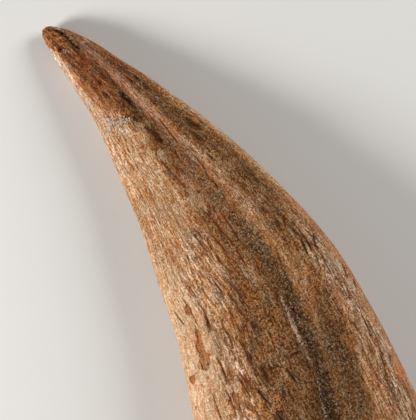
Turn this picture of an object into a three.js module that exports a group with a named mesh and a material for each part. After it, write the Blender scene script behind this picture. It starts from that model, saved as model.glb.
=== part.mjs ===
// Fossil hand claw of a large spinosaur, one solid bone lying on its side. Millimetres, +Z up.
//
// The claw is lofted through rings. Each ring spans from the inner edge, which is hollow, to the
// outer edge, which is arched, and is round or oval in section. The last rings turn in to form the
// hollow joint face at the base, with its upright keel. Grooves, ridges and the lumps of the tendon
// knob are cut into the flanks. The tip points to -X and the outer edge to +Y.
import * as THREE from "three";

const { degToRad, lerp, smoothstep } = THREE.MathUtils;

// ---- driving dimensions ----

// From the tip to the base: a point of the inner edge, a point of the outer edge, and the thickness.
const stations = [
  { inner: [-197.5, -2.0], outer: [-199.4, 0.8], thick: 3.4 },
  { inner: [-194.5, -2.2], outer: [-196.4, 4.8], thick: 5.6 },
  { inner: [-188.5, -2.0], outer: [-189.9, 9.9], thick: 8.4 },
  { inner: [-177.2, -1.6], outer: [-179.3, 15.6], thick: 11.6 },
  { inner: [-165.8, -1.1], outer: [-167.9, 21.5], thick: 14.4 },
  { inner: [-150.1, -2.7], outer: [-152.4, 28.5], thick: 17.8 },
  { inner: [-138.0, -4.2], outer: [-139.2, 33.8], thick: 20.4 },
  { inner: [-124.4, -6.2], outer: [-124.6, 38.3], thick: 23.2 },
  { inner: [-108.1, -10.0], outer: [-108.3, 42.6], thick: 26.4 },
  { inner: [-93.8, -12.7], outer: [-90.9, 45.5], thick: 29.0 },
  { inner: [-77.5, -17.7], outer: [-70.6, 46.0], thick: 31.8 },
  { inner: [-61.9, -23.4], outer: [-49.8, 45.0], thick: 33.6 },
  { inner: [-50.5, -30.0], outer: [-30.5, 43.6], thick: 34.6 },
  { inner: [-40.5, -40.6], outer: [-14.5, 41.0], thick: 35.6 },
  { inner: [-31.5, -46.2], outer: [-3.5, 38.6], thick: 36.8 },
  { inner: [-22.4, -44.8], outer: [3.4, 36.6], thick: 38.0 },
  { inner: [-17.0, -38.0], outer: [7.6, 35.4], thick: 39.2 },
  { inner: [-13.6, -31.8], outer: [10.8, 34.4], thick: 40.6 },
  { inner: [-8.8, -31.4], outer: [13.2, 32.0], thick: 41.2 },
];
const ringsPerStation = 3;
const columns = 76; // points round each ring
const flankDensity = 0.35; // draws the columns from the two edges onto the flanks

// How a ring's section differs from an ellipse: a lower squareness gives fuller flanks.
const section = { squareness: 0.9, outerFullness: 0.14, tipSquareness: 0.8, knobSquareness: 0.66 };
const tipFade = { from: 20, to: 70 };
const knobFade = { from: 150, to: 178, inner: -0.8, outer: -0.1 };

// The joint face at the base. The dish bends its rim, seen from the side, and the hollow sinks its
// middle further.
const jointFace = { dish: 5, dishReach: 30, hollow: 7.5, keel: 3.5, keelWidth: 6.5, lip: 1.4, rings: 7 };

// The blood-vessel groove on each flank: its place across the claw (-1 inner edge, 1 outer edge),
// its depth, and how far it reaches towards the inner and the outer edge, along the claw.
const mainGroove = [
  { at: 2, across: 0.5, depth: 0.2, innerReach: 0.12, outerReach: 0.12 },
  { at: 11, across: 0.26, depth: 0.6, innerReach: 0.13, outerReach: 0.16 },
  { at: 24, across: 0.24, depth: 0.8, innerReach: 0.15, outerReach: 0.16 },
  { at: 36, across: 0.11, depth: 1.7, innerReach: 0.15, outerReach: 0.17 },
  { at: 50, across: 0.12, depth: 1.5, innerReach: 0.2, outerReach: 0.22 },
  { at: 68, across: 0.2, depth: 1.4, innerReach: 0.28, outerReach: 0.24 },
  { at: 90, across: 0.25, depth: 1.5, innerReach: 0.26, outerReach: 0.27 },
  { at: 112, across: 0.29, depth: 2.0, innerReach: 0.14, outerReach: 0.36 },
  { at: 130, across: 0.27, depth: 2.7, innerReach: 0.09, outerReach: 0.42 },
  { at: 150, across: 0.22, depth: 3.4, innerReach: 0.1, outerReach: 0.44 },
  { at: 168, across: 0.06, depth: 3.6, innerReach: 0.16, outerReach: 0.4 },
  { at: 184, across: -0.3, depth: 3.2, innerReach: 0.2, outerReach: 0.3 },
  { at: 198, across: -0.66, depth: 1.6, innerReach: 0.2, outerReach: 0.22 },
];
// The shallow valley beside the outer edge, and the ridge between it and the groove.
const outerValley = { across: 0.71, reach: 0.17, height: -0.95, from: 22, to: 112, fade: 14 };
const midRidge = { across: 0.43, reach: 0.13, height: 0.55, from: 8, to: 96, fade: 8 };
// The crease that parts the flank from the flat inner face near the tip, and the swelling behind it.
const tipCrease = { across: -0.68, reach: 0.2, height: 0.5, from: 4, to: 40, fade: 4 };
const swelling = { at: 38, across: -0.55, length: 7, reach: 0.35, height: 0.7 };
// The rough lumps of the tendon knob, and the slow waves of the rest of the bone.
const knobLumps = { at: 181, across: -0.86, length: 17, reach: 0.3, height: 0.9, along: 0.62, over: 19 };
const waves = [
  { height: 0.28, along: 0.13, over: 5.1, flank: 2 },
  { height: 0.17, along: 0.29, over: -7.3, flank: 1 },
];
const wavesFade = { from: 10, to: 60 };
// The relief fades out at the two edges, where both flanks meet.
const edgeFade = { from: 0.05, to: 0.45 };
const leastShare = 0.05; // of its plain thickness that a flank keeps under the relief

// The claw bows towards its underside near the tip, and lies turned about its length (roll) and
// its height (pitch) until it rests on its flank. The shift puts the origin under its middle.
const sideBend = 2.2;
const tipCap = 1.0; // how far the blunt tip stands past its first ring
const rest = { rollDeg: 5.4, pitchDeg: -4.1, shift: [92.74, -0.14, 20.03] };

// ---- curves through the stations ----

// The point of a smooth curve through the points, where at counts from one point to the next.
function throughPoints(points, at) {
  const last = points.length - 1;
  const i = Math.min(Math.floor(Math.max(at, 0)), last - 1);
  const f = Math.min(Math.max(at, 0), last) - i;
  const near = (j) => {
    if (j < 0) return points[0].map((v, k) => 2 * v - points[1][k]);
    if (j > last) return points[last].map((v, k) => 2 * v - points[last - 1][k]);
    return points[j];
  };
  const [a, b, c, d] = [near(i - 1), near(i), near(i + 1), near(i + 2)];
  return b.map((_, k) => {
    const slope = -a[k] + c[k];
    const bend = 2 * a[k] - 5 * b[k] + 4 * c[k] - d[k];
    const turn = -a[k] + 3 * b[k] - 3 * c[k] + d[k];
    return 0.5 * (2 * b[k] + f * (slope + f * (bend + f * turn)));
  });
}

const stationRows = stations.map((s) => [...s.inner, ...s.outer, s.thick]);

// The ring at a station count: its middle, half its span as a vector, and its thickness.
function ringAt(count) {
  const [ix, iy, ox, oy, thick] = throughPoints(stationRows, count);
  return {
    middle: [(ix + ox) / 2, (iy + oy) / 2],
    half: [(ox - ix) / 2, (oy - iy) / 2],
    thick,
  };
}

const ringCount = (stations.length - 1) * ringsPerStation + 1;
const rings = Array.from({ length: ringCount }, (_, i) => ringAt(i / ringsPerStation));

// The distance of each ring from the tip, along the claw's middle.
let fromTip = 0;
rings.forEach((ring, i) => {
  const [x, y] = rings[Math.max(i - 1, 0)].middle;
  fromTip += Math.hypot(ring.middle[0] - x, ring.middle[1] - y);
  ring.fromTip = fromTip;
});
const clawLength = fromTip;

// ---- relief ----

const bell = (x) => Math.exp(-x * x);

// A groove or ridge that runs along the claw and fades out at both ends.
function along(line, fromTip, across) {
  const fadeIn = smoothstep(fromTip, line.from - line.fade, line.from + line.fade);
  const fadeOut = 1 - smoothstep(fromTip, line.to - line.fade, line.to + line.fade);
  return line.height * bell((across - line.across) / line.reach) * fadeIn * fadeOut;
}

// A lump at one place of the flank.
const lumpAt = (lump, fromTip, across) =>
  lump.height * bell((fromTip - lump.at) / lump.length) * bell((across - lump.across) / lump.reach);

function grooveAt(fromTip) {
  const next = mainGroove.findIndex((row) => row.at > fromTip);
  const [first, end] = [mainGroove[0], mainGroove.at(-1)];
  if (next === 0) return { ...first, depth: first.depth * (fromTip / first.at) };
  if (next < 0) return { ...end, depth: end.depth * (1 - smoothstep(fromTip, end.at, clawLength)) };
  const [a, b] = [mainGroove[next - 1], mainGroove[next]];
  const share = smoothstep(fromTip, a.at, b.at);
  return Object.fromEntries(Object.keys(a).map((key) => [key, lerp(a[key], b[key], share)]));
}

// How far a flank stands out (or in, if negative) of its plain section.
function relief(fromTip, across, flank) {
  const groove = grooveAt(fromTip);
  const off = across - groove.across;
  const grooveDepth = groove.depth * bell(off / (off < 0 ? groove.innerReach : groove.outerReach));
  const lumps =
    lumpAt(knobLumps, fromTip, across) *
    Math.sin(fromTip * knobLumps.along + flank) *
    Math.cos(across * knobLumps.over);
  const wavy = waves
    .map((w) => w.height * Math.sin(fromTip * w.along + across * w.over + flank * w.flank))
    .reduce((sum, height) => sum + height, 0);
  return (
    along(outerValley, fromTip, across) +
    along(midRidge, fromTip, across) +
    along(tipCrease, fromTip, across) +
    lumpAt(swelling, fromTip, across) +
    lumps +
    wavy * smoothstep(fromTip, wavesFade.from, wavesFade.to) -
    grooveDepth
  );
}

// ---- the surface ----

function turnOf(column) {
  const turn = (column / columns) * 2 * Math.PI;
  return turn + (flankDensity / 2) * Math.sin(2 * turn);
}

// A ring's section at a turn: the place across the claw, and the height off the middle plane.
function sectionPoint(ring, turn) {
  const across = Math.cos(turn);
  const rise = Math.abs(Math.sin(turn));
  const flank = Math.sign(Math.sin(turn));
  const tipHere = 1 - smoothstep(ring.fromTip, tipFade.from, tipFade.to);
  const knobHere =
    smoothstep(ring.fromTip, knobFade.from, knobFade.to) *
    (1 - smoothstep(across, knobFade.inner, knobFade.outer));
  const bodySquareness = lerp(section.squareness, section.tipSquareness, tipHere);
  const squareness = lerp(bodySquareness, section.knobSquareness, knobHere);
  const fullness = 1 + section.outerFullness * (1 - tipHere) * across;
  const plain = (ring.thick / 2) * rise ** squareness * fullness;
  const standsOut = relief(ring.fromTip, across, flank) * smoothstep(rise, edgeFade.from, edgeFade.to);
  return { across, height: flank * Math.max(plain + standsOut, leastShare * plain) };
}

const bow = (fromTip) => -sideBend * (1 - fromTip / clawLength) ** 2;

// The point of a ring at a place across the claw and a height, moved towards the tip by sunk.
function pointOf(ring, across, height, sunk) {
  const [x, y] = ring.half;
  const span = Math.hypot(x, y);
  return new THREE.Vector3(
    ring.middle[0] + across * x - (sunk * y) / span,
    ring.middle[1] + across * y + (sunk * x) / span,
    height + bow(ring.fromTip),
  );
}

const everyColumn = (make) => Array.from({ length: columns }, (_, column) => make(turnOf(column)));

function bodyRing(ring) {
  const nearJoint = smoothstep(ring.fromTip, clawLength - jointFace.dishReach, clawLength);
  return everyColumn((turn) => {
    const { across, height } = sectionPoint(ring, turn);
    return pointOf(ring, across, height, jointFace.dish * nearJoint * (1 - across ** 2));
  });
}

// A ring of the joint face, drawn in from the rim to a share of its size.
function jointRing(rim, share) {
  const lip = jointFace.lip * bell((share - 0.9) / 0.1);
  return everyColumn((turn) => {
    const edge = sectionPoint(rim, turn);
    const [across, height] = [edge.across * share, edge.height * share];
    const hollow = jointFace.hollow - jointFace.keel * bell(height / jointFace.keelWidth);
    const sunk = jointFace.dish * (1 - across ** 2) + hollow * (1 - share ** 2) ** 1.2 - lip;
    return pointOf(rim, across, height, sunk);
  });
}

// Turns the upright claw to how it lies on its flank.
const turned = new THREE.Euler(degToRad(rest.rollDeg), degToRad(rest.pitchDeg), 0);
const layDown = new THREE.Matrix4().makeRotationFromEuler(turned).setPosition(...rest.shift);

// A closed surface over the rings, with a point at each end, worn flat where it rests.
function closedLoft(allRings, firstPoint, lastPoint) {
  const points = [firstPoint, ...allRings.flat(), lastPoint];
  points.forEach((point) => {
    point.applyMatrix4(layDown);
    point.z = Math.max(point.z, 0);
  });
  const index = [];
  const lastRing = allRings.length - 1;
  const at = (ring, column) => 1 + ring * columns + (column % columns);
  for (let c = 0; c < columns; c++) {
    index.push(0, at(0, c + 1), at(0, c));
    for (let r = 0; r < lastRing; r++) {
      index.push(at(r, c), at(r, c + 1), at(r + 1, c));
      index.push(at(r, c + 1), at(r + 1, c + 1), at(r + 1, c));
    }
    index.push(points.length - 1, at(lastRing, c), at(lastRing, c + 1));
  }
  const geometry = new THREE.BufferGeometry().setFromPoints(points);
  geometry.setIndex(index);
  geometry.computeVertexNormals();
  return geometry;
}

function clawGeometry() {
  const rim = rings.at(-1);
  const shares = Array.from({ length: jointFace.rings }, (_, i) => 1 - (i + 1) / (jointFace.rings + 1));
  const face = shares.map((share) => jointRing(rim, share));
  const tipEnd = pointOf(rings[0], 0, 0, tipCap);
  const jointMiddle = pointOf(rim, 0, 0, jointFace.dish + jointFace.hollow - jointFace.keel);
  return closedLoft([...rings.map(bodyRing), ...face], tipEnd, jointMiddle);
}

// ---- the part ----

const bone = new THREE.MeshStandardMaterial({ color: 0xa97c54, roughness: 0.72, metalness: 0 });
const claw = new THREE.Mesh(clawGeometry(), bone);
claw.name = "claw";

const part = new THREE.Group();
part.add(claw);
export default part;
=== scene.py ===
import math
import bpy
import numpy as np
from mathutils import Euler, Matrix, Vector


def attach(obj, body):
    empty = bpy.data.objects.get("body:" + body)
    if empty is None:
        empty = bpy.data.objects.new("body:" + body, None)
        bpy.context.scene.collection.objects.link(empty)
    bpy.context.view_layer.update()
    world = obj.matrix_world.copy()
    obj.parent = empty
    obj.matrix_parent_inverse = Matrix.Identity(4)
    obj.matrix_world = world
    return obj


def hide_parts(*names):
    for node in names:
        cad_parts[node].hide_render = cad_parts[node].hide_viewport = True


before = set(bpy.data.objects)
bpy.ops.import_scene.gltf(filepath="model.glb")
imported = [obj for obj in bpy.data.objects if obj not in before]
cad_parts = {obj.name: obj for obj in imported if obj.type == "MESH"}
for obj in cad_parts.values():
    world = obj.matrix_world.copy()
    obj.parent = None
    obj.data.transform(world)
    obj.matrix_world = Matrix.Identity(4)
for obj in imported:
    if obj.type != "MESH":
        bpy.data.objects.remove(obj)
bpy.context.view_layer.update()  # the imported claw, which stays where it is
mm = 0.001
seedStep = (7.13, 3.71, 5.37)  # how far a texture moves from one seed to the next


def smooth(x, start, end):
    t = np.clip((x - start) / (end - start), 0, 1)
    return t * t * (3 - 2 * t)


def bell(x):
    return np.exp(-x * x)


def rowsAt(rows, at):
    # each column of the rows, eased from one row to the next along the first column
    rows = np.array(rows, float)
    at = np.clip(at, rows[0, 0], rows[-1, 0])
    index = np.clip(np.searchsorted(rows[:, 0], at, side="right") - 1, 0, len(rows) - 2)
    near, far = rows[index], rows[index + 1]
    share = smooth(at, near[..., 0], far[..., 0])[..., None]
    return np.moveaxis(near[..., 1:] * (1 - share) + far[..., 1:] * share, -1, 0)


def curveThrough(points, at):
    # smooth curve through the points; at counts from one point to the next
    last = len(points) - 1
    index = np.clip(at.astype(int), 0, last - 1)
    f = (at - index)[:, None]
    row = np.vstack([2 * points[0] - points[1], points, 2 * points[-1] - points[-2]])
    a, b, c, d = row[index], row[index + 1], row[index + 2], row[index + 3]
    bend = 2 * a - 5 * b + 4 * c - d
    turn = -a + 3 * b - 3 * c + d
    return 0.5 * (2 * b + f * (c - a + f * (bend + f * turn)))


class Wire:
    # a node's output: it adds, subtracts, multiplies and divides like a number, and [name] is the same
    # node's output of that name
    def __init__(self, socket):
        self.socket, self.tree = socket, socket.id_data

    def __getitem__(self, name):
        return Wire(self.socket.node.outputs[name])

    def __add__(self, other):
        return calc("ADD", self, other)

    def __radd__(self, other):
        return calc("ADD", other, self)

    def __sub__(self, other):
        return calc("SUBTRACT", self, other)

    def __rsub__(self, other):
        return calc("SUBTRACT", other, self)

    def __mul__(self, other):
        return calc("MULTIPLY", self, other)

    def __rmul__(self, other):
        return calc("MULTIPLY", other, self)

    def __truediv__(self, other):
        return calc("DIVIDE", self, other)

    def __rtruediv__(self, other):
        return calc("DIVIDE", other, self)


def plug(socket, value):
    if isinstance(value, Wire):
        socket.id_data.links.new(value.socket, socket)
    else:
        socket.default_value = value


def addNode(tree, kind, inputs=None, output=0, **settings):
    node = tree.nodes.new(kind)
    for name, value in settings.items():
        setattr(node, name, value)
    for key, value in (inputs or {}).items():
        plug(node.inputs[key], value)
    return Wire(node.outputs[output])


def fed(kind, inputs, output=0, **settings):
    # a node in the tree that its inputs come from
    tree = next(value.tree for value in inputs.values() if isinstance(value, Wire))
    return addNode(tree, kind, inputs, output, **settings)


def calc(operation, *values):
    return fed("ShaderNodeMath", dict(enumerate(values)), operation=operation)


def off(value, size):
    # a value that runs from 0 to 1, taken from its middle
    return (value - 0.5) * size


def fade(value, start, end, low=0.0, high=1.0):
    limits = {"Value": value, "From Min": start, "From Max": end, "To Min": low, "To Max": high}
    # the smooth step stays in its limits by itself, and the clamp would cost the render much more memory
    return fed("ShaderNodeMapRange", limits, "Result", interpolation_type="SMOOTHSTEP", clamp=False)


def between(share, low, high):
    return fade(share, 0, 1, low, high)


def mixValue(share, first, second):
    return fed("ShaderNodeMix", {0: share, 2: first, 3: second}, data_type="FLOAT")


def mixColor(share, first, second, mode="MIX"):
    return fed("ShaderNodeMix", {0: share, 6: first, 7: second}, 2, data_type="RGBA", blend_type=mode)


def vector(x, y, z):
    return fed("ShaderNodeCombineXYZ", {0: x, 1: y, 2: z})


def part(given, axis):
    # one number of a vector; a separating node would keep the other two in the render's small memory
    chosen = [float(index == axis) for index in range(3)]
    return fed("ShaderNodeVectorMath", {0: given, 1: chosen}, "Value", operation="DOT_PRODUCT")


def scaled(place, size):
    return fed("ShaderNodeVectorMath", {0: place, "Scale": size}, operation="SCALE")


def moved(place, step):
    return fed("ShaderNodeVectorMath", {0: place, 1: step}, operation="ADD")


def shifted(place, seed, size):
    # place scaled by size and moved by a seed, so that two textures never coincide
    inputs = {0: seedStep, "Scale": seed}
    step = addNode(place.tree, "ShaderNodeVectorMath", inputs, operation="SCALE")
    return moved(scaled(place, size), step)


def noise(place, scale=1.0, detail=2.0, roughness=0.5, output=0):
    values = {"Vector": place, "Scale": scale, "Detail": detail, "Roughness": roughness}
    return fed("ShaderNodeTexNoise", values, output)


def cells(place, scale=1.0):
    return fed("ShaderNodeTexVoronoi", {"Vector": place, "Scale": scale})


def newGroup(name, kind, inputs, outputs):
    # a node group with sockets given as name: (kind of socket, value)
    tree = bpy.data.node_groups.new(name, kind)
    for direction, sockets in (("INPUT", inputs), ("OUTPUT", outputs)):
        for label, (socketKind, value) in sockets.items():
            socketType = "NodeSocket" + socketKind
            socket = tree.interface.new_socket(label, in_out=direction, socket_type=socketType)
            if value is not None:
                socket.default_value = value
    return tree, addNode(tree, "NodeGroupInput"), tree.nodes.new("NodeGroupOutput").inputs


def tint(red, green, blue):
    # linear colour of an ordinary 0 to 255 one
    shares = [value / 255 for value in (red, green, blue)]
    return (*[x / 12.92 if x < 0.0405 else ((x + 0.055) / 1.055) ** 2.4 for x in shares], 1)


clawForm = {
    # from the tip: inner edge x, y, outer edge x, y, thickness
    "stations": [
        (-197.5, -2, -199.4, 0.8, 3.4), (-194.5, -2.2, -196.4, 4.8, 5.6), (-188.5, -2, -189.9, 9.9, 8.4),
        (-177.2, -1.6, -179.3, 15.6, 11.6), (-165.8, -1.1, -167.9, 21.5, 14.4),
        (-150.1, -2.7, -152.4, 28.5, 17.8), (-138, -4.2, -139.2, 33.8, 20.4),
        (-124.4, -6.2, -124.6, 38.3, 23.2), (-108.1, -10, -108.3, 42.6, 26.4),
        (-93.8, -12.7, -90.9, 45.5, 29), (-77.5, -17.7, -70.6, 46, 31.8), (-61.9, -23.4, -49.8, 45, 33.6),
        (-50.5, -30, -30.5, 43.6, 34.6), (-40.5, -40.6, -14.5, 41, 35.6), (-31.5, -46.2, -3.5, 38.6, 36.8),
        (-22.4, -44.8, 3.4, 36.6, 38), (-17, -38, 7.6, 35.4, 39.2), (-13.6, -31.8, 10.8, 34.4, 40.6),
        (-8.8, -31.4, 13.2, 32, 41.2),
    ],
    "squareness": {"body": 0.9, "tip": 0.8, "knob": 0.66},
    "outerFullness": 0.14,
    # along, place across (-1 inner edge, 1 outer edge), depth, reach to the inner and the outer edge
    "mainGroove": [
        (0, 0.5, 0, 0.12, 0.12), (2, 0.5, 0.2, 0.12, 0.12), (11, 0.26, 0.6, 0.13, 0.16),
        (24, 0.24, 0.8, 0.15, 0.16), (36, 0.11, 1.7, 0.15, 0.17), (50, 0.12, 1.5, 0.2, 0.22),
        (68, 0.2, 1.4, 0.28, 0.24), (90, 0.25, 1.5, 0.26, 0.27), (112, 0.29, 2, 0.14, 0.36),
        (130, 0.27, 2.7, 0.09, 0.42), (150, 0.22, 3.4, 0.1, 0.44), (168, 0.06, 3.6, 0.16, 0.4),
        (184, -0.3, 3.2, 0.2, 0.3), (198, -0.66, 1.6, 0.2, 0.22), (212, -0.66, 0, 0.2, 0.22),
    ],
    # place across, reach, height, from, to, fade
    "lines": {
        "outerValley": (0.71, 0.17, -0.95, 22, 112, 14),
        "midRidge": (0.43, 0.13, 0.55, 8, 96, 8),
        "tipCrease": (-0.68, 0.2, 0.5, 4, 40, 4),
    },
    "swelling": {"at": 38, "across": -0.55, "length": 7, "reach": 0.35, "height": 0.7},
    "knobLumps": {"at": 181, "across": -0.86, "length": 17, "reach": 0.3, "height": 0.9},
    # height, waves along, waves across, shift per flank
    "waves": [(0.28, 0.13, 5.1, 2), (0.17, 0.29, -7.3, 1)],
    "joint": {"dish": 5, "dishReach": 30, "hollow": 7.5, "keel": 3.5, "keelWidth": 6.5, "lip": 1.4,
              "rimWidth": 0.12, "fibreReach": 20},
    "sideBend": 2.2,
    "tipCap": 1,
    "rollDeg": 5.4,
    "pitchDeg": -4.1,
    "shift": (92.74, -0.14, 20.03),
    # mesh density
    "columnsTop": 224,
    "columnsUnder": 176,
    "flankDensity": 0.35,
    "halfColumnsTo": 52,
    "ringStepTip": 0.55,
    "ringStepBody": 0.86,
    "jointRings": 13,
}


def layDown():
    turned = Euler((math.radians(clawForm["rollDeg"]), math.radians(clawForm["pitchDeg"]), 0))
    return Matrix.Translation(clawForm["shift"]) @ turned.to_matrix().to_4x4()


def ringsAlong():
    # the rings' middles, half spans, thicknesses and distances from the tip
    points = np.array(clawForm["stations"])
    at = np.linspace(0, len(points) - 1, 4001)
    fine = curveThrough(points, at)
    middle = (fine[:, 0:2] + fine[:, 2:4]) / 2
    travelled = np.concatenate([[0], np.cumsum(np.hypot(*np.diff(middle, axis=0).T))])
    length = travelled[-1]
    places = [0.0]
    while places[-1] < length:
        share = float(smooth(places[-1], 10, 60))
        places.append(places[-1] + clawForm["ringStepTip"] * (1 - share) + clawForm["ringStepBody"] * share)
    fromTip = np.array(places[:-1] + [length])
    rows = curveThrough(points, np.interp(fromTip, travelled, at))
    return {
        "fromTip": fromTip,
        "length": length,
        "middle": (rows[:, 0:2] + rows[:, 2:4]) / 2,
        "half": (rows[:, 2:4] - rows[:, 0:2]) / 2,
        "thick": rows[:, 4],
    }


def columnTurns():
    # round a ring from the outer edge over the upper flank, and back below
    top, under = clawForm["columnsTop"], clawForm["columnsUnder"]
    shares = np.concatenate([np.arange(top) / top, 1 + np.arange(under) / under])
    turn = shares * math.pi
    return turn + clawForm["flankDensity"] / 2 * np.sin(2 * turn)


def lump(spot, fromTip, across):
    along = bell((fromTip - spot["at"]) / spot["length"])
    return spot["height"] * along * bell((across - spot["across"]) / spot["reach"])


def mainRelief(fromTip, across, flank):
    place, depth, innerReach, outerReach = rowsAt(clawForm["mainGroove"], fromTip)
    away = across - place
    result = -depth * bell(away / np.where(away < 0, innerReach, outerReach))
    for place, reach, height, start, end, ease in clawForm["lines"].values():
        shown = smooth(fromTip, start - ease, start + ease) * (1 - smooth(fromTip, end - ease, end + ease))
        result = result + height * bell((across - place) / reach) * shown
    result = result + lump(clawForm["swelling"], fromTip, across)
    ripple = np.sin(fromTip * 0.62 + flank) * np.cos(across * 19)
    result = result + lump(clawForm["knobLumps"], fromTip, across) * ripple
    for height, along, over, shift in clawForm["waves"]:
        wave = np.sin(fromTip * along + across * over + flank * shift)
        result = result + height * wave * smooth(fromTip, 10, 60)
    return result


def sectionHeight(fromTip, thick, turn):
    across, rise, flank = np.cos(turn), np.abs(np.sin(turn)), np.sign(np.sin(turn))
    powers = clawForm["squareness"]
    tipHere = 1 - smooth(fromTip, 20, 70)
    knobHere = smooth(fromTip, 150, 178) * (1 - smooth(across, -0.8, -0.1))
    power = powers["body"] + (powers["tip"] - powers["body"]) * tipHere
    power = power + (powers["knob"] - power) * knobHere
    plain = thick / 2 * rise ** power * (1 + clawForm["outerFullness"] * (1 - tipHere) * across)
    relief = mainRelief(fromTip, across, flank) + fineRelief(fromTip, across)
    relief = relief * smooth(rise, 0.05, 0.45)
    return flank * np.maximum(plain + relief, 0.05 * plain)


# finer lines of the form: the groove's sharp lip, the slit near the tip, the chipped outer edge
closeForm = {
    # along, place across, height, half width
    "lipLine": [
        (106, 0.215, 0, 0.02), (117, 0.205, 0.35, 0.02), (129, 0.21, 0.4, 0.018), (141, 0.21, 0.45, 0.018),
        (152, 0.17, 0.5, 0.018), (164, 0.08, 0.3, 0.025), (176, -0.12, 0, 0.03),
    ],
    "tipSlit": [(2.5, 0.52, 0, 0.07), (6, 0.42, -0.6, 0.1), (10, 0.26, -0.5, 0.1), (17, 0.18, 0, 0.08)],
    "outerStep": [
        (100, 0.93, 0, 0.02), (110, 0.925, -0.3, 0.02), (124, 0.95, -0.25, 0.02), (134, 0.95, 0, 0.02),
    ],
    "outerSlab": [
        (126, 0.89, 0, 0.04), (130, 0.9, 0.35, 0.05), (141, 0.9, 0.35, 0.05), (147, 0.87, 0, 0.04),
    ],
}


def fineRelief(fromTip, across):
    result = 0
    for rows in closeForm.values():
        place, height, width = rowsAt(rows, fromTip)
        result = result + height * bell((across - place) / width)
    return result


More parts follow.
